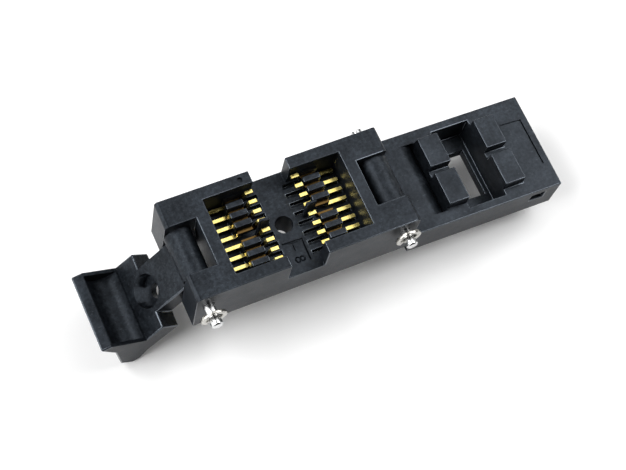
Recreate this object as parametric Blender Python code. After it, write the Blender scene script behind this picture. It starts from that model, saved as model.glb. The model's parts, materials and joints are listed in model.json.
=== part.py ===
"""Socket adapter for programming small outline chips: base, contacts, hinged lid and latch.

Sizes are in millimetres. X is measured from the latch end of the base, Y from the middle
plane and Z from the underside. The helper seat() moves everything so that the board seat,
a point on the underside, is the origin.
"""

import math

import bmesh
import bpy

MM = 0.001

# Chip place: two rows of contacts, mirrored about the chip plane
PITCH = 1.27
CONTACTS_PER_ROW = 8
ROW_END_SPACE = 0.435
WELL_NEAR = 2.34
WELL_FAR = 8.65
WELL_FLOOR = 3.6
COMB_NEAR = 3.85
COMB_FAR = 6.03
COMB_TOP = 6.1
SLOT_NEAR = 1.66
MIDDLE_GAP_NEAR = 3.6
DIVIDER_Y = 0.14
DIVIDER_THICK = 0.42
ALIGNMENT_HOLE_R = 1.1
ALIGNMENT_HOLE_SHIFT = 0.09

# Base housing: each end is the solid length beyond a well
LATCH_END = 5.38
HINGE_END = 5.58
SIDE_WALL = 1.55
BASE_HEIGHT = 8.0
BASE_END_ROUND = 0.57
BRIDGE_HEIGHT = 4.29
DIMPLE_R = 0.35
DIMPLE_DEPTH = 0.3
DIMPLE_SETBACK = 1.36
BOARD_SEAT_REACH = 3.97
OVERCUT = 0.5

# Contacts: distances run outwards from the chip plane
STRIP = 0.42
STRIP_GAP = 0.05
LEAF = 0.38
TIP_NEAR = 2.48
TIP_LENGTH = 0.95
TIP_SLOPE = 0.55
TIP_TOP = 6.6
ARM_TOP = 5.32
POST_FAR = 8.28
POST_WIDTH = 0.40
POST_TOP = 6.05
BAR_TOP = 4.43
RISER_NEAR = 5.48
NECK_THICK = 0.33
FINGER_NEAR = 7.0
FINGER_THICK = 0.25
FINGER_TOP = 6.68
TAIL_LENGTH = 3.2

# Hinge pins and their clips: how far each pin stands out of the base sides
PIN_R = 0.725
LID_PIN_STUB = 1.97
LID_PIN_FAR_STUB = 1.2
LATCH_PIN_STUB = 2.67
LATCH_PIN_SUNK = 0.13
CLIP_SETBACK = 1.2
PIN_CHAMFER = 0.15
PIN_FIT = 0.03
HINGE_FIT = 0.06
GROOVE_R = 0.5
CLIP_THICK = 0.36
CLIP_R = 1.6
CLIP_BORE_R = 1.02
CLIP_FIT = 0.04

# Lid: its own lengths run from the hinge axis, with the inner face up when open
LID_AXIS_SETBACK = 1.61
LID_AXIS_Z = 5.55
LID_DROOP_DEG = 2.66
LID_SEAT_GAP = 0.05
LID_END_GAP = 0.49
LID_THICK = 5.04
LID_TO_LATCH_AXIS = 2.35
KNUCKLE_R = 1.85
KNUCKLE_SIDE_GAP = 0.05
KNUCKLE_FAR_GAP = 0.7
KNUCKLE_WEB = 3.4
HINGE_SLOT_LENGTH = 4.06
HINGE_SLOT_NEAR = -2.95
HINGE_SLOT_FAR = 3.1
PAD_HEIGHT = 1.40
PAD_LENGTH = 2.8
PAD_OUTER_Y = 4.65
PAD_SLIT = 0.9
PAD_REACH = 3.95
POCKET_LENGTH = 5.1
POCKET_HALF_WIDTH = 5.4
POCKET_DEPTH = 3.6
WINDOW_SETBACK = 0.1
WINDOW_LENGTH = 4.33
WINDOW_HALF_WIDTH = 3.2
TROUGH_LENGTH = 2.3
TROUGH_DEPTH = 1.6
TROUGH_HALF_WIDTH = 4.85
SIDE_HOLE_SETBACK = 3.95
SIDE_HOLE_LENGTH = 2.0
SIDE_HOLE_DROP = 2.5
SIDE_HOLE_HEIGHT = 1.5
SIDE_HOLE_DEPTH = 1.6
RAIL_LENGTH = 2.3
RAIL_HEIGHT = 3.3
RAIL_HALF_WIDTH = 4.3
RAIL_INSET = 0.15

# Latch: s runs along its arm from the axis, t across it towards the hook
LATCH_AXIS_X = 1.6
LATCH_AXIS_Z = 5.25
LATCH_OPEN_DEG = 144.2
LATCH_SLOT_HALF_WIDTH = 3.05
UNDERCUT_WALL = 0.38
UNDERCUT_LENGTH = 1.15
UNDERCUT_TOP = 4.65
LATCH_SIDE_GAP = 0.15
LATCH_SPRING_GAP = 1.25
LATCH_BARREL_R = 1.7
LATCH_HALF_WIDTH = 4.93
LATCH_THICK = 2.6
LATCH_ARM_START = 1.9
LATCH_SHOULDER = 7.9
RIDGE_S = 11.16
LIP_S = 11.9
LIP_T = 5.0
NOSE_S = 12.87
NOSE_T = 5.83
BROW_S = 13.8
BROW_T = 2.9
THUMB_S = 17.1
THUMB_T = 0.5
BACK_T = 2.4
HEEL_S = 15.9
HEEL_T = 2.8
SCOOP_DEPTH = 1.7
SCOOP_EDGE = 0.25
SCOOP_HALF_WIDTH = 4.5
LATCH_HOLE_S = 8.1
LATCH_HOLE_R = 2.08
LATCH_HOLE_DEPTH = 1.7
LATCH_VENT_R = 0.93

# Sizes that follow from the ones above
CHIP_X = LATCH_END + WELL_FAR
BASE_LENGTH = CHIP_X + WELL_FAR + HINGE_END
SEAT_X = CHIP_X + BOARD_SEAT_REACH
WELL_HALF_WIDTH = 0.5 * (CONTACTS_PER_ROW - 1) * PITCH + ROW_END_SPACE
BASE_HALF_WIDTH = WELL_HALF_WIDTH + SIDE_WALL
LID_AXIS_X = BASE_LENGTH - LID_AXIS_SETBACK
LID_START = LID_AXIS_SETBACK + LID_END_GAP
LID_END = LID_AXIS_X - LATCH_AXIS_X - LID_TO_LATCH_AXIS
LID_MIDDLE = LID_AXIS_X - CHIP_X
LID_FACE = LID_AXIS_Z - BASE_HEIGHT - LID_SEAT_GAP
LID_OUTER = LID_FACE - LID_THICK
UNDERCUT_END = LATCH_END - UNDERCUT_WALL
LATCH_SLOT_END = UNDERCUT_END - UNDERCUT_LENGTH


def clear_scene():
    for thing in list(bpy.data.objects):
        bpy.data.objects.remove(thing, do_unlink=True)


def material(name, colour, roughness, metallic=0.0):
    """Return a Principled material with a plain colour."""
    finish = bpy.data.materials.new(name)
    finish.use_nodes = True
    shader = finish.node_tree.nodes["Principled BSDF"]
    shader.inputs["Base Color"].default_value = (*colour, 1.0)
    shader.inputs["Roughness"].default_value = roughness
    shader.inputs["Metallic"].default_value = metallic
    finish.diffuse_color = (*colour, 1.0)
    return finish


def arc(cx, cz, radius, start_deg, end_deg, steps):
    """Return points on a circular arc, both ends included."""
    points = []
    for i in range(steps + 1):
        angle = math.radians(start_deg + (end_deg - start_deg) * i / steps)
        points.append((cx + radius * math.cos(angle), cz + radius * math.sin(angle)))
    return points


def prism(name, outline, low, high, along="Y"):
    """Extrude an outline. Along Y it is drawn in X and Z, along Z in X and Y."""
    mesh = bpy.data.meshes.new(name)
    body = bmesh.new()
    rings = []
    for level in (low, high):
        if along == "Y":
            ring = [body.verts.new((a * MM, level * MM, b * MM)) for a, b in outline]
        else:
            ring = [body.verts.new((a * MM, b * MM, level * MM)) for a, b in outline]
        rings.append(ring)
    count = len(outline)
    body.faces.new(rings[0])
    body.faces.new(rings[1])
    for i in range(count):
        j = (i + 1) % count
        body.faces.new((rings[0][i], rings[0][j], rings[1][j], rings[1][i]))
    bmesh.ops.recalc_face_normals(body, faces=body.faces)
    body.to_mesh(mesh)
    body.free()
    thing = bpy.data.objects.new(name, mesh)
    bpy.context.collection.objects.link(thing)
    return thing


def block(name, x0, x1, y0, y1, z0, z1):
    """Return a box between two values on each axis."""
    return prism(name, [(x0, z0), (x1, z0), (x1, z1), (x0, z1)], y0, y1)


def rod(name, x, z, radius, y0, y1, sides=40):
    """Return a round rod along Y."""
    return prism(name, arc(x, z, radius, 0, 360 - 360 / sides, sides - 1), y0, y1)


def post(name, x, y, radius, z0, z1, sides=40):
    """Return a round rod along Z."""
    return prism(name, arc(x, y, radius, 0, 360 - 360 / sides, sides - 1), z0, z1, "Z")


def combine(thing, tool, operation):
    """Join a tool to a body or take it away, and hide the tool."""
    step = thing.modifiers.new(tool.name, "BOOLEAN")
    step.operation = operation
    step.solver = "EXACT"
    step.object = tool
    tool.hide_render = True
    tool.display_type = "WIRE"


def cut(thing, *tools):
    for tool in tools:
        combine(thing, tool, "DIFFERENCE")


def fuse(thing, *tools):
    for tool in tools:
        combine(thing, tool, "UNION")


def merge(name, pieces):
    """Put separate boxes into one cutter, so that one step takes them all away."""
    mesh = bpy.data.meshes.new(name)
    body = bmesh.new()
    for piece in pieces:
        body.from_mesh(piece.data)
        bpy.data.objects.remove(piece, do_unlink=True)
    body.to_mesh(mesh)
    body.free()
    thing = bpy.data.objects.new(name, mesh)
    bpy.context.collection.objects.link(thing)
    return thing


def seat(thing, finish, x=0.0, y=0.0, z=0.0):
    """Put the object's origin at x, y, z without moving its shape, and give it its finish."""
    for vertex in thing.data.vertices:
        vertex.co.x -= x * MM
        vertex.co.y -= y * MM
        vertex.co.z -= z * MM
    hang(thing, finish, x, y, z, 0.0)


def hang(thing, finish, x, y, z, turn_deg):
    """Place a shape that is drawn about its own origin, turned about Y."""
    thing.location = ((x - SEAT_X) * MM, y * MM, z * MM)
    thing.rotation_euler = (0.0, math.radians(turn_deg), 0.0)
    thing.data.materials.append(finish)
    for step in thing.modifiers:
        if step.type == "BOOLEAN" and step.object is not None:
            tool = step.object
            tool.location = thing.location
            tool.rotation_euler = thing.rotation_euler
            if turn_deg == 0.0:
                for vertex in tool.data.vertices:
                    vertex.co.x -= x * MM
                    vertex.co.y -= y * MM
                    vertex.co.z -= z * MM


def contact_rows():
    """Yield side, number and Y of each contact, numbered row by row."""
    for side in (-1, 1):
        for i in range(CONTACTS_PER_ROW):
            yield side, i, (0.5 * (CONTACTS_PER_ROW - 1) - i) * PITCH


def span(side, near, far):
    """Turn two distances from the chip plane into two X values in rising order."""
    ends = (CHIP_X + side * near, CHIP_X + side * far)
    return min(ends), max(ends)


def base_housing(finish):
    """Two towers joined by the low bridge that the chip lies over."""
    tower_gap = span(1, -WELL_NEAR, WELL_NEAR)
    r = BASE_END_ROUND
    outline = [(0.0, 0.0), (BASE_LENGTH, 0.0)]
    outline += arc(BASE_LENGTH - r, BASE_HEIGHT - r, r, 0, 90, 4)
    outline += [(tower_gap[1], BASE_HEIGHT), (tower_gap[1], BRIDGE_HEIGHT)]
    outline += [(tower_gap[0], BRIDGE_HEIGHT), (tower_gap[0], BASE_HEIGHT)]
    outline += arc(r, BASE_HEIGHT - r, r, 90, 180, 4)
    base = prism("base_housing", outline, -BASE_HALF_WIDTH, BASE_HALF_WIDTH)
    for side in (-1, 1):
        cut_well(base, side)
    cut_latch_slot(base)
    cut_hinge_slot(base)
    x = CHIP_X - ALIGNMENT_HOLE_SHIFT
    top = BRIDGE_HEIGHT + OVERCUT
    cut(base, post("alignment_hole", x, 0.0, ALIGNMENT_HOLE_R, -OVERCUT, top))
    x = CHIP_X - WELL_NEAR - DIMPLE_SETBACK
    y = 0.5 * (BASE_HALF_WIDTH + WELL_HALF_WIDTH)
    floor = BASE_HEIGHT - DIMPLE_DEPTH
    cut(base, post("dimple", x, y, DIMPLE_R, floor, BASE_HEIGHT + OVERCUT, 20))
    seat(base, finish)


def cut_well(base, side):
    """Hollow one tower in steps, give each contact its slot and stand the divider in it."""
    tag = "left" if side < 0 else "right"
    half = WELL_HALF_WIDTH
    over = BASE_HEIGHT + OVERCUT
    steps = [
        (WELL_NEAR - OVERCUT, BRIDGE_HEIGHT),
        (COMB_NEAR, BRIDGE_HEIGHT),
        (COMB_NEAR, COMB_TOP),
        (COMB_FAR, COMB_TOP),
        (COMB_FAR, WELL_FLOOR),
        (WELL_FAR, WELL_FLOOR),
        (WELL_FAR, over),
        (WELL_NEAR - OVERCUT, over),
    ]
    outline = [(CHIP_X + side * a, b) for a, b in steps]
    cut(base, prism("well_" + tag, outline, -half, half))
    slots = []
    for row, i, y in contact_rows():
        if row == side:
            slots += contact_slot(side, y)
    cut(base, merge("slots_" + tag, slots))
    x0, x1 = span(side, MIDDLE_GAP_NEAR, COMB_FAR + OVERCUT)
    gap = 0.5 * PITCH
    cut(base, block("middle_gap_" + tag, x0, x1, -gap, gap, WELL_FLOOR, over))
    x0, x1 = span(side, WELL_NEAR, MIDDLE_GAP_NEAR)
    y0 = DIVIDER_Y - 0.5 * DIVIDER_THICK
    y1 = DIVIDER_Y + 0.5 * DIVIDER_THICK
    fuse(base, block("divider_" + tag, x0, x1, y0, y1, BRIDGE_HEIGHT - OVERCUT, BASE_HEIGHT))


def contact_slot(side, y):
    """Return the slot a contact flexes in and the hole its tail leaves through."""
    reach = 0.5 * STRIP + STRIP_GAP
    x0, x1 = span(side, SLOT_NEAR, COMB_FAR + STRIP_GAP)
    slot = block("slot", x0, x1, y - reach, y + reach, WELL_FLOOR, COMB_TOP + OVERCUT)
    x0, x1 = span(side, POST_FAR - POST_WIDTH - STRIP_GAP, POST_FAR + STRIP_GAP)
    hole = block("tail", x0, x1, y - reach, y + reach, -OVERCUT, WELL_FLOOR + OVERCUT)
    return [slot, hole]


def cut_latch_slot(base):
    """Open the latch end and bore it for the latch pin."""
    half = LATCH_SLOT_HALF_WIDTH
    top = BASE_HEIGHT + OVERCUT
    outline = [(-OVERCUT, -OVERCUT), (UNDERCUT_END, -OVERCUT), (UNDERCUT_END, UNDERCUT_TOP)]
    outline += [(LATCH_SLOT_END, UNDERCUT_TOP), (LATCH_SLOT_END, top), (-OVERCUT, top)]
    cut(base, prism("latch_slot", outline, -half, half))
    near, far = latch_pin_ends()
    bore = PIN_R + PIN_FIT
    cut(base, rod("latch_bore", LATCH_AXIS_X, LATCH_AXIS_Z, bore, near, far + PIN_FIT))


def cut_hinge_slot(base):
    """Open the hinge end and bore it for the lid pin."""
    x0 = BASE_LENGTH - HINGE_SLOT_LENGTH
    x1 = BASE_LENGTH + OVERCUT
    top = BASE_HEIGHT + OVERCUT
    slot = block("hinge_slot", x0, x1, HINGE_SLOT_NEAR, HINGE_SLOT_FAR, -OVERCUT, top)
    cut(base, slot)
    near, far = lid_pin_ends()
    cut(base, rod("lid_bore", LID_AXIS_X, LID_AXIS_Z, PIN_R + PIN_FIT, near, far))


def lid_pin_ends():
    return -BASE_HALF_WIDTH - LID_PIN_STUB, BASE_HALF_WIDTH + LID_PIN_FAR_STUB


def latch_pin_ends():
    return -BASE_HALF_WIDTH - LATCH_PIN_STUB, BASE_HALF_WIDTH - LATCH_PIN_SUNK


def contact(name, side, y, finish):
    """One formed strip: tail, post, bar with a finger, riser, low arm, neck and tip."""
    post_near = POST_FAR - POST_WIDTH
    riser_far = RISER_NEAR + LEAF
    finger_far = FINGER_NEAR + FINGER_THICK
    tip_far = TIP_NEAR + TIP_LENGTH
    neck_far = tip_far + TIP_SLOPE
    path = [
        (POST_FAR, -TAIL_LENGTH),
        (post_near, -TAIL_LENGTH),
        (post_near, BAR_TOP - LEAF),
        (RISER_NEAR, BAR_TOP - LEAF),
        (RISER_NEAR, ARM_TOP - LEAF),
        (neck_far - NECK_THICK, ARM_TOP - LEAF),
        (tip_far - NECK_THICK, TIP_TOP - LEAF),
        (TIP_NEAR, TIP_TOP - LEAF),
        (TIP_NEAR, TIP_TOP),
        (tip_far, TIP_TOP),
        (neck_far, ARM_TOP),
        (riser_far, ARM_TOP),
        (riser_far, BAR_TOP),
        (FINGER_NEAR, BAR_TOP),
        (FINGER_NEAR, FINGER_TOP),
        (finger_far, FINGER_TOP),
        (finger_far, BAR_TOP),
        (post_near, BAR_TOP),
        (post_near, POST_TOP),
        (POST_FAR, POST_TOP),
    ]
    outline = [(CHIP_X + side * a, b) for a, b in path]
    strip = prism(name, outline, y - 0.5 * STRIP, y + 0.5 * STRIP)
    seat(strip, finish, CHIP_X + side * (POST_FAR - 0.5 * POST_WIDTH), y, 0.0)


def hinge_pin(name, x, z, ends, finish):
    """Round pin with chamfered ends and a groove for its clip."""
    near, far = ends
    groove = 0.5 * CLIP_THICK + CLIP_FIT
    clip = near + CLIP_SETBACK
    steps = [
        (near, PIN_R - PIN_CHAMFER),
        (near + PIN_CHAMFER, PIN_R),
        (clip - groove, PIN_R),
        (clip - groove, GROOVE_R),
        (clip + groove, GROOVE_R),
        (clip + groove, PIN_R),
        (far - PIN_CHAMFER, PIN_R),
        (far, PIN_R - PIN_CHAMFER),
    ]
    mesh = bpy.data.meshes.new(name)
    body = bmesh.new()
    rings = []
    for y, radius in steps:
        ring = arc(0.0, 0.0, radius, 0, 350, 35)
        rings.append([body.verts.new((a * MM, y * MM, b * MM)) for a, b in ring])
    body.faces.new(rings[0])
    body.faces.new(rings[-1])
    for first, second in zip(rings, rings[1:]):
        for i in range(len(first)):
            j = (i + 1) % len(first)
            body.faces.new((first[i], first[j], second[j], second[i]))
    bmesh.ops.recalc_face_normals(body, faces=body.faces)
    body.to_mesh(mesh)
    body.free()
    thing = bpy.data.objects.new(name, mesh)
    bpy.context.collection.objects.link(thing)
    hang(thing, finish, x, 0.0, z, 0.0)


def pin_clip(name, x, z, ends, finish):
    """Snap ring that is open below and holds the groove with three prongs."""
    grip = GROOVE_R + CLIP_FIT
    outline = arc(0.0, 0.0, CLIP_R, -58, 238, 36)
    outline += arc(0.0, 0.0, grip, 230, 212, 3)
    outline += arc(0.0, 0.0, CLIP_BORE_R, 205, 108, 10)
    outline += arc(0.0, 0.0, grip, 112, 68, 5)
    outline += arc(0.0, 0.0, CLIP_BORE_R, 72, -25, 10)
    outline += arc(0.0, 0.0, grip, -32, -50, 3)
    half = 0.5 * CLIP_THICK
    ring = prism(name, outline, -half, half)
    hang(ring, finish, x, ends[0] + CLIP_SETBACK, z, 0.0)


def lid(finish):
    """Lid with the window and its pocket, four pads, the trough, the knuckle and the rail."""
    half = BASE_HALF_WIDTH
    body = block("lid", LID_START, LID_END, -half, half, LID_OUTER, LID_FACE)
    fuse(body, lid_knuckle())
    fuse(body, lid_rail())
    fuse(body, merge("pads", lid_pads()))
    x0 = LID_MIDDLE - 0.5 * POCKET_LENGTH
    x1 = LID_MIDDLE + 0.5 * POCKET_LENGTH
    wide = POCKET_HALF_WIDTH
    floor = LID_FACE - POCKET_DEPTH
    cut(body, block("lid_pocket", x0, x1, -wide, wide, floor, LID_FACE + OVERCUT))
    x0 += WINDOW_SETBACK
    x1 = x0 + WINDOW_LENGTH
    wide = WINDOW_HALF_WIDTH
    cut(body, block("lid_window", x0, x1, -wide, wide, LID_OUTER - OVERCUT, floor + OVERCUT))
    cut(body, lid_trough())
    x0 = LID_END - SIDE_HOLE_SETBACK
    x1 = x0 + SIDE_HOLE_LENGTH
    z0 = LID_FACE - SIDE_HOLE_DROP
    z1 = z0 + SIDE_HOLE_HEIGHT
    cut(body, block("side_hole", x0, x1, -half - OVERCUT, -half + SIDE_HOLE_DEPTH, z0, z1))
    cut(body, rod("knuckle_bore", 0.0, 0.0, PIN_R + HINGE_FIT, -half, half))
    hang(body, finish, LID_AXIS_X, 0.0, LID_AXIS_Z, LID_DROOP_DEG)


def lid_knuckle():
    """Barrel round the pin, with a web down to the lid."""
    inside = LID_START + OVERCUT
    outline = arc(0.0, 0.0, KNUCKLE_R, 0, 215, 24)
    outline += [(inside, LID_FACE - KNUCKLE_WEB), (inside, LID_FACE - OVERCUT)]
    outline += [(KNUCKLE_R, LID_FACE - OVERCUT)]
    near = HINGE_SLOT_NEAR + KNUCKLE_SIDE_GAP
    return prism("knuckle", outline, near, HINGE_SLOT_FAR - KNUCKLE_FAR_GAP)


def lid_rail():
    """Rounded rail on the outer face that the latch hooks over."""
    x0 = LID_END - RAIL_LENGTH + RAIL_INSET
    x1 = LID_END - RAIL_INSET
    r = 0.5 * (x1 - x0)
    root = LID_OUTER + OVERCUT
    outline = [(x1, root), (x0, root)]
    outline += arc(x0 + r, LID_OUTER - RAIL_HEIGHT + r, r, 180, 360, 12)
    return prism("latch_rail", outline, -RAIL_HALF_WIDTH, RAIL_HALF_WIDTH)


def lid_pads():
    """Four pads that press the leads on the contact tips, two at each side of the window."""
    slit_low = DIVIDER_Y - 0.5 * PAD_SLIT
    slit_high = DIVIDER_Y + 0.5 * PAD_SLIT
    z0 = LID_FACE - OVERCUT
    z1 = LID_FACE + PAD_HEIGHT
    pads = []
    for side in (-1, 1):
        x0 = LID_MIDDLE + side * PAD_REACH - 0.5 * PAD_LENGTH
        x1 = x0 + PAD_LENGTH
        pads.append(block("pad", x0, x1, -PAD_OUTER_Y, slit_low, z0, z1))
        pads.append(block("pad", x0, x1, slit_high, PAD_OUTER_Y, z0, z1))
    return pads


def lid_trough():
    """Trough before the first pads: its floor rolls off the face and is deepest at the pads."""
    radius = (TROUGH_LENGTH ** 2 + TROUGH_DEPTH ** 2) / (2.0 * TROUGH_DEPTH)
    end = LID_MIDDLE - PAD_REACH - 0.5 * PAD_LENGTH
    start = end - TROUGH_LENGTH
    sweep = math.degrees(math.asin(TROUGH_LENGTH / radius))
    outline = arc(start, LID_FACE - radius, radius, 90, 90 - sweep, 10)
    outline += [(end, LID_FACE + OVERCUT), (start, LID_FACE + OVERCUT)]
    return prism("lid_trough", outline, -TROUGH_HALF_WIDTH, TROUGH_HALF_WIDTH)


def latch(finish):
    """Latch drawn shut, with its arm upright, and then swung open to how it rests."""
    body = prism("latch", latch_body_outline(), -LATCH_HALF_WIDTH, LATCH_HALF_WIDTH)
    wide = LATCH_SLOT_HALF_WIDTH - LATCH_SIDE_GAP
    top = LATCH_SHOULDER + OVERCUT
    arm = [(0.0, LATCH_ARM_START), (0.0, top), (-LATCH_THICK + OVERCUT, top)]
    arm += [(-LATCH_THICK, LATCH_SHOULDER), (-LATCH_THICK, LATCH_ARM_START)]
    fuse(body, prism("latch_arm", arm, -wide, wide))
    inside = LATCH_ARM_START + OVERCUT
    outline = arc(0.0, 0.0, LATCH_BARREL_R, 40, -180, 24)
    outline += [(-LATCH_THICK + OVERCUT, inside), (-OVERCUT, inside)]
    far = LATCH_SLOT_HALF_WIDTH - LATCH_SPRING_GAP
    fuse(body, prism("latch_barrel", outline, -wide, far))
    cut(body, latch_scoop())
    cut(body, across("latch_counterbore", LATCH_HOLE_R, -LATCH_HOLE_DEPTH, OVERCUT))
    vent_end = -LATCH_THICK - OVERCUT
    cut(body, across("latch_vent", LATCH_VENT_R, vent_end, OVERCUT - LATCH_HOLE_DEPTH))
    cut(body, rod("latch_pin_bore", 0.0, 0.0, PIN_R + HINGE_FIT, -wide - OVERCUT, wide))
    hang(body, finish, LATCH_AXIS_X, 0.0, LATCH_AXIS_Z, -LATCH_OPEN_DEG)


def latch_body_outline():
    """Thumb end of the latch in profile, as X and Z from the axis with the arm upright."""
    return [
        (-LATCH_THICK, LATCH_SHOULDER),
        (0.0, LATCH_SHOULDER),
        (0.0, RIDGE_S),
        (LIP_T, LIP_S),
        (NOSE_T, NOSE_S),
        (BROW_T, BROW_S),
        (-THUMB_T, THUMB_S),
        (-BACK_T, THUMB_S),
        (-HEEL_T, HEEL_S),
        (-BACK_T, BROW_S),
    ]


def latch_scoop():
    """Hollow under the hook: the circle through both ridges with the given depth."""
    x0, z0, x1, z1 = SCOOP_EDGE, RIDGE_S, LIP_T - SCOOP_EDGE, LIP_S
    chord = math.hypot(x1 - x0, z1 - z0)
    radius = (0.25 * chord * chord + SCOOP_DEPTH * SCOOP_DEPTH) / (2.0 * SCOOP_DEPTH)
    lift = radius - SCOOP_DEPTH
    cx = 0.5 * (x0 + x1) + lift * (z1 - z0) / chord
    cz = 0.5 * (z0 + z1) - lift * (x1 - x0) / chord
    return rod("latch_scoop", cx, cz, radius, -SCOOP_HALF_WIDTH, SCOOP_HALF_WIDTH, 48)


def across(name, radius, x0, x1):
    """Return a round rod along X through the hole place of the latch."""
    drum = post(name, 0.0, 0.0, radius, x0, x1)
    for vertex in drum.data.vertices:
        a, b, c = vertex.co
        vertex.co = (c, b, LATCH_HOLE_S * MM - a)
    return drum


def build():
    clear_scene()
    moulded = material("moulded_resin_dark", (0.045, 0.050, 0.058), 0.48)
    lid_resin = material("moulded_resin_lid", (0.043, 0.048, 0.056), 0.5)
    latch_resin = material("moulded_resin_latch", (0.045, 0.050, 0.056), 0.5)
    gold = material("gold_plated_contact", (0.90, 0.68, 0.24), 0.22, 1.0)
    steel = material("bright_steel_pin", (0.78, 0.78, 0.77), 0.2, 1.0)
    spring = material("spring_steel_clip", (0.62, 0.61, 0.58), 0.3, 1.0)
    base_housing(moulded)
    lid(lid_resin)
    latch(latch_resin)
    x, z = LID_AXIS_X, LID_AXIS_Z
    hinge_pin("lid_hinge_pin", x, z, lid_pin_ends(), steel)
    pin_clip("lid_pin_clip", x, z, lid_pin_ends(), spring)
    x, z = LATCH_AXIS_X, LATCH_AXIS_Z
    hinge_pin("latch_hinge_pin", x, z, latch_pin_ends(), steel)
    pin_clip("latch_pin_clip", x, z, latch_pin_ends(), spring)
    for side, i, y in contact_rows():
        number = i + 1 if side < 0 else 2 * CONTACTS_PER_ROW - i
        contact(f"contact_{number:02d}", side, y, gold)


build()
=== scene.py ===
# %% [markdown]
# # A clamshell test socket for small chips
#
# The real object is a moulded socket that grips a small outline chip. Its base holds two rows
# of sprung contacts, its lid presses the chip's leads on them, and a thumb latch holds the lid
# down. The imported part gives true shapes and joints. This script dresses it: it rounds the
# moulded edges, engraves the marks, gives each piece a material made of nodes, and sets up a
# plain studio with a camera at the angle of the photograph.

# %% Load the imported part
import json
import math

import bmesh
import bpy
import numpy as np
from mathutils import Matrix, Vector


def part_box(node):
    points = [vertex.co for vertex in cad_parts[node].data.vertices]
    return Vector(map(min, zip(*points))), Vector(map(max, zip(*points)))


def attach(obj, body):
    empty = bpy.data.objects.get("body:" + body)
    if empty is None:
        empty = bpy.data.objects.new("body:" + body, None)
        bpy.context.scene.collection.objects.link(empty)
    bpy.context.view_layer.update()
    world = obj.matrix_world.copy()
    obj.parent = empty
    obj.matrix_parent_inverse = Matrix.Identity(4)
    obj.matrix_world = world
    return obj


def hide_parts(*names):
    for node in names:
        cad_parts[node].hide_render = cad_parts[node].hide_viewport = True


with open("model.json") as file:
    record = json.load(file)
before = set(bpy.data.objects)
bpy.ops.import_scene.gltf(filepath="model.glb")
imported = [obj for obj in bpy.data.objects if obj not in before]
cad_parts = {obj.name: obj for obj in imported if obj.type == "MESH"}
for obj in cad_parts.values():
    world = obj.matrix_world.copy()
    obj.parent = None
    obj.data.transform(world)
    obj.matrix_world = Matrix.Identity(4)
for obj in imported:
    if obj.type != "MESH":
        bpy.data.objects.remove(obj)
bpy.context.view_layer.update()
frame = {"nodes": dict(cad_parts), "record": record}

# %% [markdown]
# ## Units and places
#
# Sizes are written in millimetres, as on a maker's drawing, because the whole socket is only
# 60 mm long. X is measured from the latch end of the base, Y from its middle plane and Z from
# its underside. The part's own origin lies 18 mm along X, so one small function turns a
# measured place into metres in the part's frame.

# %% Units and places
MM = 0.001
SEAT_X = 18.0


def place(x, y, z):
    """Return a measured place in metres: x less the seat's distance, y and z as they are."""
    return Vector(((x - SEAT_X) * MM, y * MM, z * MM))


print("the latch end of the base lies at x =", round(place(0.0, 0.0, 0.0).x, 4), "m")

# %% [markdown]
# ## Colours
#
# Colours are written as they look on a screen, in hex, because that is how the eye judges
# them. Blender's sockets want linear light, so one function undoes the screen curve.

# %% Colours
def linear(hex_colour):
    """Turn a screen colour into linear light: the power law, with its straight foot."""
    values = []
    for i in (1, 3, 5):
        part = int(hex_colour[i:i + 2], 16) / 255.0
        values.append(part / 12.92 if part <= 0.04045 else ((part + 0.055) / 1.055) ** 2.4)
    return (*values, 1.0)


print("half way up the screen scale is", round(linear("#808080")[0], 3), "in linear light")

# %% [markdown]
# ## Nodes
#
# A material is a small graph of nodes. These helpers make a node and fill its sockets in one
# line, so that the finishes below read like recipes. Noise sizes are the sizes of the spots
# on the real piece.

# %% Nodes
def add(tree, kind, inputs=None, **settings):
    """Add a node, set its properties, and fill or link its sockets."""
    node = tree.nodes.new(kind)
    for key, value in settings.items():
        setattr(node, key, value)
    for socket, value in (inputs or {}).items():
        if isinstance(value, bpy.types.NodeSocket):
            tree.links.new(value, node.inputs[socket])
        else:
            node.inputs[socket].default_value = value
    return node


def noise(tree, where, size_mm, detail, roughness=0.5):
    """Noise with spots of a real size: its scale is one over that size in metres."""
    return add(tree, "ShaderNodeTexNoise", {
        "Vector": where, "Scale": 1.0 / (size_mm * MM), "Detail": detail,
        "Roughness": roughness}).outputs["Fac"]


def span(tree, value, start, end, low, high):
    """Stretch a value so that start gives low and end gives high, and hold it outside."""
    return add(tree, "ShaderNodeMapRange", {
        "Value": value, "From Min": start, "From Max": end,
        "To Min": low, "To Max": high}).outputs["Result"]


def mix_numbers(tree, factor, first, second):
    """Mix two numbers: a factor of 0 gives the first and 1 the second."""
    return add(tree, "ShaderNodeMix", {
        "Factor": factor, "A": first, "B": second}).outputs["Result"]


def mix_colours(tree, factor, first, second):
    """Mix a linked colour with a plain one: a factor of 0 gives the first, 1 the second."""
    node = add(tree, "ShaderNodeMix", data_type="RGBA")
    # The colour sockets have the same names as the number sockets, so they go by position.
    tree.links.new(factor, node.inputs[0])
    tree.links.new(first, node.inputs[6])
    node.inputs[7].default_value = second
    return node.outputs[2]


def ramp(tree, factor, stops):
    """Add a colour ramp with the given positions and linear colours."""
    node = add(tree, "ShaderNodeValToRGB", {"Fac": factor})
    marks = node.color_ramp.elements
    while len(marks) < len(stops):
        marks.new(0.5)
    for mark, (position, colour) in zip(marks, stops):
        mark.position = position
        mark.color = colour
    return node.outputs["Color"]


def new_material(name):
    """Return a material, its node tree and its Principled shader."""
    material = bpy.data.materials.new(name)
    material.use_nodes = True
    return material, material.node_tree, material.node_tree.nodes["Principled BSDF"]


print("node helpers ready")

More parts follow.
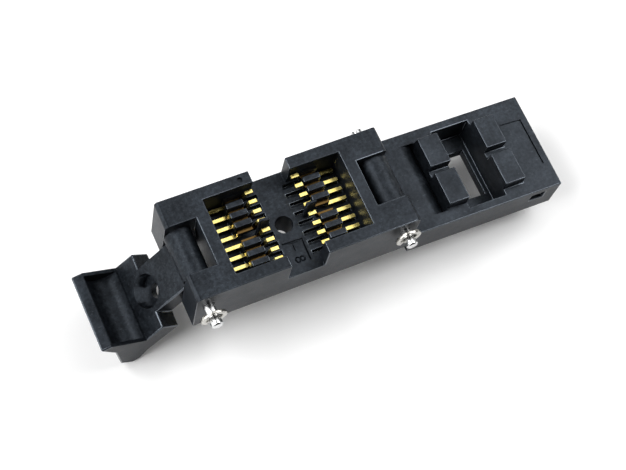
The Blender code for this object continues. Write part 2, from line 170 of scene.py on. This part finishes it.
# %% [markdown]
# ## Moulded resin
#
# Base, lid and latch are moulded from a dark resin filled with short glass fibres. Its body
# is nearly black, and most of what the eye gets from it is gloss. One flat colour would look
# like paint, and a picture of the skin would repeat. Noise does neither. Here it clouds the
# gloss over millimetres and mottles it at a few tenths of a millimetre, pale flecks stand for
# fibres near the skin, and a fine grain bumps the skin as a spark-eroded mould does. Rounded
# edges are rubbed smooth in use, so faces with the attribute `worn` shine more.

# %% Moulded resin
CLOUD_MM, MOTTLE_MM, FIBRE_MM, GRAIN_MM = 3.2, 0.42, 0.5, 0.13
MOTTLE_SHARE = 0.62
# Fibres lie a little askew of X, as the resin flowed, and are three times as long as wide.
FIBRE_TURN, FIBRE_SQUEEZE = (0.0, 0.0, 0.5), (1.0, 3.0, 3.0)
FIBRE_COLOUR = linear("#5A6066")
GRAIN_DEPTH_MM = 0.03
WORN_ROUGHNESS, WORN_GLOSS = 0.2, 1.0
# The gloss of the skin is faintly blue, which keeps the black from looking brown.
COOL_GLOSS = linear("#E2EFFF")


def moulded_resin(name, dark, mid, pale, rough, gloss):
    """Dark glass-filled resin: clouds, mottle, fibre flecks, grain and rubbed edges."""
    material, tree, shader = new_material(name)
    where = add(tree, "ShaderNodeTexCoord").outputs["Object"]
    clouds = noise(tree, where, CLOUD_MM, 3.0, 0.55)
    mottle = noise(tree, where, MOTTLE_MM, 4.0, 0.62)
    skin = mix_numbers(tree, MOTTLE_SHARE, clouds, mottle)
    # Noise seldom leaves the middle of its range, so the stops lie close together.
    colour = ramp(tree, skin, [(0.36, dark), (0.5, mid), (0.66, pale)])

    lengthways = add(tree, "ShaderNodeMapping", {
        "Vector": where, "Rotation": FIBRE_TURN, "Scale": FIBRE_SQUEEZE})
    fibres = noise(tree, lengthways.outputs["Vector"], FIBRE_MM, 2.0)
    fleck = span(tree, fibres, 0.64, 0.76, 0.0, 0.3)
    flecked = mix_colours(tree, fleck, colour, FIBRE_COLOUR)
    tree.links.new(flecked, shader.inputs["Base Color"])

    worn = add(tree, "ShaderNodeAttribute", attribute_name="worn").outputs["Fac"]
    matt = span(tree, mottle, 0.3, 0.7, rough - 0.07, rough + 0.08)
    roughness = mix_numbers(tree, worn, matt, WORN_ROUGHNESS)
    tree.links.new(roughness, shader.inputs["Roughness"])
    sheen = span(tree, skin, 0.34, 0.66, 0.6 * gloss, 1.4 * gloss)
    level = mix_numbers(tree, worn, sheen, WORN_GLOSS)
    tree.links.new(level, shader.inputs["Specular IOR Level"])
    shader.inputs["Specular Tint"].default_value = COOL_GLOSS

    grain = noise(tree, where, GRAIN_MM, 3.0)
    bump = add(tree, "ShaderNodeBump", {
        "Height": grain, "Strength": 0.35, "Distance": GRAIN_DEPTH_MM * MM})
    tree.links.new(bump.outputs["Normal"], shader.inputs["Normal"])
    return material


print("resin recipe ready, coarsest spots", CLOUD_MM, "mm, finest", GRAIN_MM, "mm")

# %% [markdown]
# ## The resin of each piece
#
# The three mouldings come from one resin but not from one mould, so their skins differ a
# little. Three materials from one recipe keep them alike without making them the same.

# %% The resin of each piece
# A blue-black base, cloudy on its broad tops.
base_resin = moulded_resin(
    "moulded_resin_dark", linear("#0C0E11"), linear("#14171B"), linear("#22272D"), 0.44, 0.29)
# The lid is a shade greyer and a little rougher, so its broad flat face looks duller.
lid_resin = moulded_resin(
    "moulded_resin_lid", linear("#0D0F12"), linear("#15181C"), linear("#24292F"), 0.46, 0.3)
# The latch is the blackest: its skin is smoother but gives back less light.
latch_resin = moulded_resin(
    "moulded_resin_latch", linear("#0B0D10"), linear("#13161A"), linear("#20252A"), 0.4, 0.2)
print("resins:", base_resin.name, lid_resin.name, latch_resin.name)

# %% [markdown]
# ## Metals
#
# Plated strip and drawn wire look real through small changes of tone and gloss. Stretching
# the noise turns its spots into streaks, which run along a pin as draw lines do. The contacts
# are gold where they touch the chip and where they show as bars in the wells. The sprung
# stretch between those two heights lies in shade deep in the wells, so the recipe can paint that
# shade as a dark band of Z.

# %% Metals
BAND_EDGE_MM = 0.1
STREAK_DEPTH_MM = 0.01


def metal(name, dull, bright, rough, size_mm, stretch, painted_shade_band=None):
    """Metal whose tone and gloss vary slowly, with an optional band of Z darkened as painted
    shade.
    """
    material, tree, shader = new_material(name)
    where = add(tree, "ShaderNodeTexCoord").outputs["Object"]
    stretched = add(tree, "ShaderNodeMapping", {"Vector": where, "Scale": stretch})
    streaks = noise(tree, stretched.outputs["Vector"], size_mm, 3.0)
    colour = ramp(tree, streaks, [(0.3, dull), (0.62, bright)])
    # The band is painted shade: the metal between the two heights is darkened where it lies deep
    # in the wells.
    if painted_shade_band is not None:
        low_mm, high_mm, tone = painted_shade_band
        height = add(tree, "ShaderNodeSeparateXYZ", {"Vector": where}).outputs["Z"]
        above = span(tree, height, low_mm * MM, (low_mm + BAND_EDGE_MM) * MM, 0.0, 1.0)
        below = span(tree, height, (high_mm + BAND_EDGE_MM) * MM, high_mm * MM, 0.0, 1.0)
        band = add(tree, "ShaderNodeMath", {0: above, 1: below}, operation="MULTIPLY")
        colour = mix_colours(tree, band.outputs["Value"], colour, tone)
    tree.links.new(colour, shader.inputs["Base Color"])
    shader.inputs["Metallic"].default_value = 1.0
    roughness = span(tree, streaks, 0.3, 0.7, rough - 0.05, rough + 0.08)
    tree.links.new(roughness, shader.inputs["Roughness"])
    bump = add(tree, "ShaderNodeBump", {
        "Height": streaks, "Strength": 0.2, "Distance": STREAK_DEPTH_MM * MM})
    tree.links.new(bump.outputs["Normal"], shader.inputs["Normal"])
    return material


# Bright lemon gold, with painted shade as a dark bronze band between the bars and the tips.
gold = metal(
    "gold_plated_contact", linear("#E8CC6C"), linear("#F8E894"), 0.19, 0.5, (1.0, 2.0, 1.0),
    painted_shade_band=(4.5, 5.9, linear("#5C4828")))
# Drawn steel rod, nearly white, with lines along the pin.
pin_steel = metal(
    "bright_steel_pin", linear("#B4B5B6"), linear("#DEDFDF"), 0.2, 0.2, (1.0, 0.15, 1.0))
# Stamped spring steel, a little warmer and duller than the pins.
clip_steel = metal(
    "spring_steel_clip", linear("#8E8C87"), linear("#C6C4BE"), 0.26, 0.4, (1.0, 1.0, 1.0))
print("metals:", gold.name, pin_steel.name, clip_steel.name)

# %% [markdown]
# ## Merged copies
#
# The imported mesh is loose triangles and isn't to be changed. To give a node softer edges, a
# copy is made, its double points are joined, and the triangles of each flat face become one
# face. Modifiers are baked into plain mesh as soon as they have done their work.

# %% Merged copies
WELD_MM = 0.002
FLAT_DEG = 1.0


def merged(node):
    """Copy a node's mesh with its double points joined and its flat faces made whole."""
    body = bmesh.new()
    body.from_mesh(frame["nodes"][node].data)
    bmesh.ops.remove_doubles(body, verts=body.verts, dist=WELD_MM * MM)
    bmesh.ops.dissolve_limit(
        body, angle_limit=math.radians(FLAT_DEG), verts=body.verts, edges=body.edges)
    return body


def shown(name, mesh):
    """Put a mesh in the scene under a name, with its object at the origin."""
    thing = bpy.data.objects.new(name, mesh)
    bpy.context.scene.collection.objects.link(thing)
    return thing


def formed(node, body):
    """Turn a worked body into the piece that will stand for the node."""
    mesh = bpy.data.meshes.new(node + "_formed")
    body.to_mesh(mesh)
    body.free()
    return shown(node + "_formed", mesh)


def bake(piece):
    """Turn a piece's modifiers into plain mesh."""
    graph = bpy.context.evaluated_depsgraph_get()
    shape = bpy.data.meshes.new_from_object(piece.evaluated_get(graph))
    piece.modifiers.clear()
    piece.data = shape


def take_out(piece, cutters):
    """Take each cutter out of the piece with a Boolean, then remove the cutters."""
    for cutter in cutters:
        step = piece.modifiers.new(cutter.name, "BOOLEAN")
        step.operation = "DIFFERENCE"
        step.solver = "EXACT"
        step.object = cutter
    bake(piece)
    for cutter in cutters:
        bpy.data.objects.remove(cutter)


print("points closer than", WELD_MM, "mm are joined")

# %% [markdown]
# ## Rounded edges
#
# No moulded or stamped edge is truly sharp, and the thin bright line along an edge is what
# makes it look solid. A Bevel modifier would round every edge alike and fold over itself in
# the narrow contact slots. So the edges are chosen: long and sharp enough, and with no other
# edge close beside them. The new faces are marked as worn, for the resin's recipe. The upper
# edge at the latch end of the base is rounder than the rest, so it is rounded first.

# %% Rounded edges
# Two edges run alongside where the cosine between them is at least PARALLEL. A rounding
# needs ROOM times its own width beside it. Places closer than TOUCH_MM count as the same.
PARALLEL = 0.98
ROOM = 2.2
TOUCH_MM = 0.01


def crowded(edge, room):
    """Tell whether another edge of the same face runs alongside, closer than the room."""
    start, end = (vertex.co for vertex in edge.verts)
    length = (end - start).length
    along = (end - start) / length
    for face in edge.link_faces:
        for other in face.edges:
            near, far = (vertex.co - start for vertex in other.verts)
            if other == edge or abs((far - near).normalized().dot(along)) < PARALLEL:
                continue
            low, high = sorted((near.dot(along), far.dot(along)))
            beside = high > TOUCH_MM * MM and low < length - TOUCH_MM * MM
            if beside and (near - along * near.dot(along)).length < room:
                return True
    return False


def upper_end_edges(body):
    """Find the edges that are both at the lowest X and at the highest Z of the body."""
    left = min(vertex.co.x for vertex in body.verts) + TOUCH_MM * MM
    top = max(vertex.co.z for vertex in body.verts) - TOUCH_MM * MM
    return [
        edge for edge in body.edges
        if all(vertex.co.x < left and vertex.co.z > top for vertex in edge.verts)]


def round_over(body, edges, width_mm, steps):
    """Replace edges by a few narrow flats on an arc, and mark those faces as worn."""
    made = bmesh.ops.bevel(
        body, geom=edges, offset=width_mm * MM, offset_type="OFFSET", segments=steps,
        profile=0.5, affect="EDGES", clamp_overlap=False)
    worn = body.faces.layers.float["worn"]
    for face in made["faces"]:
        face[worn] = 1.0


def rounded(node, width_mm, shortest_mm, sharp_deg, wide_mm=0.0):
    """Copy a node and round the edges that are long and sharp enough and have room."""
    body = merged(node)
    body.faces.layers.float.new("worn")
    if wide_mm:
        round_over(body, upper_end_edges(body), wide_mm, 5)
    edges = [
        edge for edge in body.edges
        if edge.calc_face_angle(0.0) > math.radians(sharp_deg)
        and edge.calc_length() > shortest_mm * MM
        and not crowded(edge, ROOM * width_mm * MM)]
    round_over(body, edges, width_mm, 3)
    return formed(node, body)


# The mouldings have roundings of their own, and the pins and clips are all rounded alike.
MOULDED_EDGES = {
    "base_housing": {"width_mm": 0.11, "shortest_mm": 0.45, "sharp_deg": 50.0, "wide_mm": 0.3},
    "lid": {"width_mm": 0.11, "shortest_mm": 0.45, "sharp_deg": 50.0},
    "latch": {"width_mm": 0.2, "shortest_mm": 0.6, "sharp_deg": 50.0},
}
METAL_EDGES = {"width_mm": 0.05, "shortest_mm": 0.1, "sharp_deg": 60.0}
print("own roundings:", ", ".join(MOULDED_EDGES))

# %% [markdown]
# ## Boxes
#
# A plain box is the simplest cutter and the simplest wall. Its eight corners are every mix of
# a low and a high value on three axes, which numpy gives as one array.

# %% Boxes
CORNERS = np.array([(a, b, c) for a in (0, 1) for b in (0, 1) for c in (0, 1)])
BOX_FACES = [(0, 1, 3, 2), (4, 6, 7, 5), (0, 4, 5, 1), (2, 3, 7, 6), (0, 2, 6, 4), (1, 5, 7, 3)]


def brick(name, low, high):
    """Box between two opposite corners: low where a corner counts 0, high where it counts 1."""
    ends = np.array([low, high])
    mesh = bpy.data.meshes.new(name)
    mesh.from_pydata(ends[CORNERS, np.arange(3)].tolist(), [], BOX_FACES)
    return shown(name, mesh)


print("a box has", len(CORNERS), "corners and", len(BOX_FACES), "faces")

# %% [markdown]
# ## Contacts
#
# A contact is a strip of sprung metal, stamped and formed: its tip meets the chip's lead, and
# its bar lies across the well behind the comb. In the photograph nothing stands over the
# bars, so each copy is cut level with its bar, from a given distance behind the chip's middle.
# The strips are too thin for roundings, and they stay flat-faced as stamped metal is.

# %% Contacts
CHIP_X = 14.03
BAR_TOP = 4.42
TRIM_FROM, TRIM_TO = 6.9, 9.0
# The cutter's sides and top lie further out than any contact reaches.
BEYOND = 8.0


def trimmed_contact(node):
    """Copy of a contact cut level with its bar, so that the whole bar shows from above."""
    piece = formed(node, merged(node))
    low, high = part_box(node)
    side = 1.0 if low.x + high.x > 2.0 * place(CHIP_X, 0.0, 0.0).x else -1.0
    left, right = sorted((CHIP_X + side * TRIM_FROM, CHIP_X + side * TRIM_TO))
    take_out(piece, [
        brick("above_bar", place(left, -BEYOND, BAR_TOP), place(right, BEYOND, BEYOND))])
    return piece


print("contacts are cut level at", BAR_TOP, "mm, from", TRIM_FROM, "mm off the chip's middle")

# %% [markdown]
# ## Formed pieces
#
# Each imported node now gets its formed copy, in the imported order: a contact is cut level, and
# every other piece is rounded by its own widths. The copies are kept by node, so that later
# steps can find the base or the lid by name.

# %% Formed pieces
pieces = {}
for node in frame["nodes"]:
    if node.startswith("contact"):
        pieces[node] = trimmed_contact(node)
    else:
        pieces[node] = rounded(node, **MOULDED_EDGES.get(node, METAL_EDGES))
print("formed", len(pieces), "pieces")

# %% [markdown]
# ## Engraved lines
#
# Beside the bridge, and near the free end of the lid, the mould leaves a fine corner line. A
# painted line would look flat from the side. A real groove catches its own shadow, so a
# small solid is laid along the line and taken out of the piece. The lid droops a little about
# its hinge, so its line is laid on the drooping face.

# %% Engraved lines
BRIDGE_TOP = 4.29
LID_AXIS = (26.65, 5.55)
LID_DROOP = math.radians(2.66)
LID_FACE = -2.5
UP_Z = Vector((0.0, 0.0, 1.0))


def on_lid(x, y):
    """Return the place on the lid's inner face over x, y: along the face from the hinge."""
    normal = Vector((math.sin(LID_DROOP), 0.0, math.cos(LID_DROOP)))
    along = Vector((math.cos(LID_DROOP), 0.0, -math.sin(LID_DROOP)))
    reach = (x - LID_AXIS[0] - LID_FACE * normal.x) / along.x
    spot = place(LID_AXIS[0], y, LID_AXIS[1]) + (along * reach + normal * LID_FACE) * MM
    return spot, normal


def groove(name, points, normal, width_mm, depth_mm):
    """Solid along a line of places: start + along, side and normal by each corner's share."""
    half = 0.5 * width_mm * MM
    reach_share = CORNERS[:, :1]
    side_share, normal_share = 2 * CORNERS[:, 1:2] - 1, 2 * CORNERS[:, 2:] - 1
    cutters = []
    for number, (start, end) in enumerate(zip(points, points[1:])):
        along = (end - start).normalized()
        corners = (
            np.array(start - along * half)
            + reach_share * np.array(along) * ((end - start).length + 2.0 * half)
            + side_share * np.array(normal.cross(along)) * half
            + normal_share * np.array(normal) * depth_mm * MM
        )
        mesh = bpy.data.meshes.new(f"{name}_{number}")
        mesh.from_pydata(corners.tolist(), [], BOX_FACES)
        cutters.append(shown(f"{name}_{number}", mesh))
    return cutters


bridge_corner = [
    place(x, y, BRIDGE_TOP) for x, y in ((12.75, -2.3), (15.16, -2.4), (15.11, -5.1))]
bridge_marks = groove("bridge_line", bridge_corner, UP_Z, width_mm=0.22, depth_mm=0.25)
lid_corner = [on_lid(x, y) for x, y in ((45.45, 3.33), (48.23, 3.2), (48.24, -3.11))]
lid_marks = groove(
    "lid_line", [spot for spot, normal in lid_corner], lid_corner[0][1],
    width_mm=0.2, depth_mm=0.2)
take_out(pieces["lid"], lid_marks)
print("grooves:", len(bridge_marks), "on the bridge,", len(lid_marks), "on the lid")

# %% [markdown]
# ## Engraved numbers
#
# The numbers of the row's first and last contacts stand beside the bridge. Blender's text
# object gives their outlines. It is turned into a mesh before it is put in its place, so that
# its place lies in the mesh, and then it cuts the base as the grooves do.

# %% Engraved numbers
# A digit fills about 0.7 of the text size. The cutter leaves strokes a little wider.
DIGIT_SHARE = 0.7
STROKE_MM = 0.02


def numeral(text, spot, normal, up, height_mm, depth_mm):
    """Solid numeral with its top towards up, standing through the face at the spot."""
    curve = bpy.data.curves.new("numeral_" + text, "FONT")
    curve.body = text
    curve.size = height_mm * MM / DIGIT_SHARE
    curve.extrude = depth_mm * MM
    curve.offset = STROKE_MM * MM
    curve.align_x = "CENTER"
    curve.align_y = "CENTER"
    drawn = shown("numeral_" + text, curve)
    graph = bpy.context.evaluated_depsgraph_get()
    mesh = bpy.data.meshes.new_from_object(drawn.evaluated_get(graph))
    bpy.data.objects.remove(drawn)
    turn = Matrix((up.cross(normal), up, normal)).transposed().to_4x4()
    mesh.transform(Matrix.Translation(spot) @ turn)
    body = bmesh.new()
    body.from_mesh(mesh)
    bmesh.ops.remove_doubles(body, verts=body.verts, dist=0.001 * MM)
    bmesh.ops.recalc_face_normals(body, faces=body.faces)
    body.to_mesh(mesh)
    body.free()
    return shown("numeral_" + text, mesh)


bridge_marks.append(numeral(
    "1", place(13.87, -3.17, BRIDGE_TOP), UP_Z, Vector((0.0, 1.0, 0.0)),
    height_mm=0.85, depth_mm=0.25))
bridge_marks.append(numeral(
    "8", place(13.9, -4.69, BRIDGE_TOP), UP_Z, Vector((1.0, 0.0, 0.0)),
    height_mm=1.3, depth_mm=0.25))
print("marks cut into the base:", len(bridge_marks))
take_out(pieces["base_housing"], bridge_marks)

# %% [markdown]
# ## Shading, finishes and bodies
#
# Smooth shading with weighted normals keeps broad faces flat and lets only the narrow
# roundings bend the light. The contacts are shaded flat. Then each copy takes its finish,
# rides on its body and stands for its node.

# %% Shading, finishes and bodies
CREASE_DEG = 33.0
finishes = {
    "moulded_resin_dark": base_resin,
    "moulded_resin_lid": lid_resin,
    "moulded_resin_latch": latch_resin,
    "gold_plated_contact": gold,
    "bright_steel_pin": pin_steel,
    "spring_steel_clip": clip_steel,
}
slot_of = {row["node"]: row["material_slot"] for row in frame["record"]["subparts"]}
body_of = {
    member: body_name
    for body_name, members in frame["record"]["behaviour"]["bodies"].items()
    for member in members}


def smooth(mesh):
    """Shade smooth, but keep a crease wherever two faces meet at more than the crease angle."""
    mesh.shade_smooth()
    mesh.set_sharp_from_angle(angle=math.radians(CREASE_DEG))


for node, piece in pieces.items():
    if node.startswith("contact"):
        piece.data.shade_flat()
    else:
        smooth(piece.data)
    weigh = piece.modifiers.new("flat faces stay flat", "WEIGHTED_NORMAL")
    weigh.keep_sharp = True
    bake(piece)
    piece.data.name = node + "_formed"
    piece.data.materials.clear()
    piece.data.materials.append(finishes[slot_of[node]])
    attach(piece, body_of[node])
    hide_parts(node)
triangles = sum(len(p.vertices) - 2 for piece in pieces.values() for p in piece.data.polygons)
print("dressed", len(pieces), "pieces with", triangles, "triangles")

# %% [markdown]
# ## Sleeves and wall
#
# Three small forms complete the mouldings. The latch's barrel and the lid's knuckle each
# reach further along their pin at the far side, as a short sleeve. At the inner end of the
# latch's slot the wall stands nearer to the barrel. A sleeve is a four-cornered section
# turned once round the pin, which is how a lathe would make it.

# %% Sleeves and wall
SLEEVE_SIDES = 64
LATCH_AXIS = (1.6, 5.25)
PIN_BORE_R = 0.785


def sleeve(name, axis, near_mm, far_mm, outer_mm):
    """Sleeve along Y: for each corner of its section, x = r cos t and z = r sin t."""
    turns = np.linspace(0.0, 2.0 * np.pi, SLEEVE_SIDES, endpoint=False)
    radius = np.array([outer_mm, outer_mm, PIN_BORE_R, PIN_BORE_R])[:, None] * MM
    along = np.array([near_mm, far_mm, far_mm, near_mm])[:, None] * MM
    middle = place(axis[0], 0.0, axis[1])
    points = np.stack([
        middle.x + radius * np.cos(turns),
        np.broadcast_to(along, (4, SLEEVE_SIDES)),
        middle.z + radius * np.sin(turns)], axis=-1)
    corner, step = np.arange(4)[:, None] * SLEEVE_SIDES, np.arange(SLEEVE_SIDES)
    next_corner, next_step = np.roll(corner, -1, axis=0), np.roll(step, -1)
    faces = np.stack([
        corner + step, next_corner + step, next_corner + next_step, corner + next_step], axis=-1)
    mesh = bpy.data.meshes.new(name)
    mesh.from_pydata(points.reshape(-1, 3).tolist(), [], faces.reshape(-1, 4).tolist())
    return shown(name, mesh)


latch_end = sleeve("latch_barrel_end", LATCH_AXIS, near_mm=1.8, far_mm=2.9, outer_mm=1.7)
knuckle_end = sleeve("lid_knuckle_end", LID_AXIS, near_mm=2.4, far_mm=3.05, outer_mm=1.85)
wall = brick("undercut_wall", place(4.1, -3.04, 0.1), place(5.02, 3.04, 4.62))
for extra, body_name, finish in (
        (latch_end, "latch_body", "moulded_resin_latch"),
        (knuckle_end, "lid_body", "moulded_resin_lid"),
        (wall, "base", "moulded_resin_dark")):
    smooth(extra.data)
    extra.data.materials.append(finishes[finish])
    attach(extra, body_name)
print("added", latch_end.name, knuckle_end.name, wall.name)

# %% [markdown]
# ## Floor
#
# Off its board the open socket rocks back on the latch and on the rail under the lid, so the
# floor is the plane that both touch. It is found by halving: the tilt grows until the lowest
# point of the lid, measured square to the floor, is level with that of the latch. The floor
# is a pale card. Its diffuse white keeps the shadow, and a little glow that only the camera
# sees lifts it to a white background.

# %% Floor
STEEPEST = math.radians(15.0)
HALVINGS = 40
CARD_HALF_M = 4.0
CARD_GLOW = 0.09


def lowest(piece, tilt):
    """Lowest vertex over a plane tilted about Y: the least of z cos tilt less x sin tilt."""
    flat = np.empty(len(piece.data.vertices) * 3)
    piece.data.vertices.foreach_get("co", flat)
    spots = flat.reshape(-1, 3)
    return float((spots[:, 2] * math.cos(tilt) - spots[:, 0] * math.sin(tilt)).min())


low_tilt, high_tilt = 0.0, STEEPEST
for halving in range(HALVINGS):
    tilt = 0.5 * (low_tilt + high_tilt)
    if lowest(pieces["lid"], tilt) > lowest(pieces["latch"], tilt):
        low_tilt = tilt
    else:
        high_tilt = tilt
drop = lowest(pieces["latch"], tilt)

floor_mesh = bpy.data.meshes.new("floor")
floor_mesh.from_pydata([
    (-CARD_HALF_M, -CARD_HALF_M, 0.0), (CARD_HALF_M, -CARD_HALF_M, 0.0),
    (CARD_HALF_M, CARD_HALF_M, 0.0), (-CARD_HALF_M, CARD_HALF_M, 0.0)], [], [(0, 1, 2, 3)])
floor = shown("floor", floor_mesh)
floor.rotation_euler = (0.0, -tilt, 0.0)
floor.location = (-drop * math.sin(tilt), 0.0, drop * math.cos(tilt))

# Matt white card: it takes a soft shadow and shows no gloss.
card, tree, shader = new_material("pale_card")
shader.inputs["Base Color"].default_value = linear("#F4F4F4")
shader.inputs["Roughness"].default_value = 0.9
shader.inputs["Specular IOR Level"].default_value = 0.0
seen = add(tree, "ShaderNodeLightPath").outputs["Is Camera Ray"]
glow = add(tree, "ShaderNodeEmission", {
    "Color": (1.0, 1.0, 1.0, 1.0), "Strength": span(tree, seen, 0.0, 1.0, 0.0, CARD_GLOW)})
total = add(tree, "ShaderNodeAddShader", {0: shader.outputs["BSDF"], 1: glow.outputs["Emission"]})
tree.links.new(total.outputs["Shader"], tree.nodes["Material Output"].inputs["Surface"])
floor_mesh.materials.append(card)
print("floor tilted by", round(math.degrees(tilt), 2), "degrees")

# %% [markdown]
# ## Surround
#
# Dark resin shows what it mirrors more than its own colour. A white surround would grey it
# all over, so the world is white only for the camera and dim for every other ray.

# %% Surround
DIM = 0.05
world = bpy.data.worlds.new("studio")
bpy.context.scene.world = world
world.use_nodes = True
background = world.node_tree.nodes["Background"]
background.inputs["Color"].default_value = (1.0, 1.0, 1.0, 1.0)
seen = add(world.node_tree, "ShaderNodeLightPath").outputs["Is Camera Ray"]
strength = span(world.node_tree, seen, 0.0, 1.0, DIM, 1.0)
world.node_tree.links.new(strength, background.inputs["Strength"])
print("surround:", DIM, "for all but the camera")

# %% [markdown]
# ## Lamps
#
# Five soft square lamps stand round the socket at one distance, most of them where some
# faces mirror them to the camera. They are area lamps, as softboxes are in a studio, because
# a small lamp would give hard spots on the gloss and a hard shadow on the floor.

# %% Lamps
LAMP_DISTANCE_MM = 330.0


def lamp(name, azimuth_deg, elevation_deg, size_mm, watts):
    """Square soft lamp facing the socket's middle: angles from +X towards +Y, and up."""
    azimuth, elevation = math.radians(azimuth_deg), math.radians(elevation_deg)
    way = Vector((
        math.cos(elevation) * math.cos(azimuth),
        math.cos(elevation) * math.sin(azimuth),
        math.sin(elevation),
    ))
    data = bpy.data.lights.new(name, "AREA")
    data.size = size_mm * MM
    data.energy = watts
    thing = shown(name, data)
    thing.location = place(SEAT_X, 0.0, 0.0) + way * LAMP_DISTANCE_MM * MM
    thing.rotation_euler = way.to_track_quat("Z", "Y").to_euler()
    return thing


lamps = [
    # The flat tops mirror this lamp to the camera, which gives them their grey sheen.
    lamp("mirror_lamp", 48.0, 66.0, 230.0, 0.27),
    # High on the latch side, for the slopes of the latch and the barrel.
    lamp("left_lamp", 180.0, 45.0, 180.0, 0.54),
    # On the lid's side: it fills the shadow and whitens the floor there.
    lamp("right_lamp", 0.0, 50.0, 180.0, 0.72),
    # Low on the latch side, for the upright end faces.
    lamp("low_left_lamp", 180.0, 15.0, 180.0, 0.54),
    # Behind the latch, to lay a bright line along rounded edges.
    lamp("far_left_lamp", 141.0, 50.0, 120.0, 0.36),
]
print("lamps:", len(lamps), "of", round(sum(thing.data.energy for thing in lamps), 2), "W in all")

# %% [markdown]
# ## Camera
#
# The camera was fitted to the corners of the socket in the photograph: it looks down steeply
# from the near left and is rolled by about 19 degrees. Its focal length follows from the
# fitted scale in pixels: lens = scale x sensor width / image width.

# %% Camera
AZIMUTH, ELEVATION, ROLL = (math.radians(v) for v in (-42.1, 65.38, 19.35))
DISTANCE_MM = 187.2
FOCAL_PIXELS = 1558.64
IMAGE_WIDTH = 626
AIM = place(17.92, -0.99, 0.0)

back = Vector((
    math.sin(AZIMUTH) * math.cos(ELEVATION),
    -math.cos(AZIMUTH) * math.cos(ELEVATION),
    math.sin(ELEVATION),
))
level_right = (-back).cross(UP_Z).normalized()
level_up = level_right.cross(-back)
right = level_right * math.cos(ROLL) + level_up * math.sin(ROLL)
up = level_up * math.cos(ROLL) - level_right * math.sin(ROLL)
camera_data = bpy.data.cameras.new("photo_camera")
camera_data.sensor_width = 36.0
camera_data.sensor_fit = "HORIZONTAL"
camera_data.lens = FOCAL_PIXELS * camera_data.sensor_width / IMAGE_WIDTH
camera_data.clip_start = 0.005
camera_data.clip_end = 20.0
camera = shown("photo_camera", camera_data)
pose = Matrix((right, up, back)).transposed().to_4x4()
pose.translation = AIM + back * DISTANCE_MM * MM
camera.matrix_world = pose
bpy.context.scene.camera = camera
bpy.context.scene.view_settings.view_transform = "Standard"
print("camera lens", round(camera_data.lens, 1), "mm")

# %% [markdown]
#
# The dressed part keeps the size of the imported one.

print("dressed part ready")
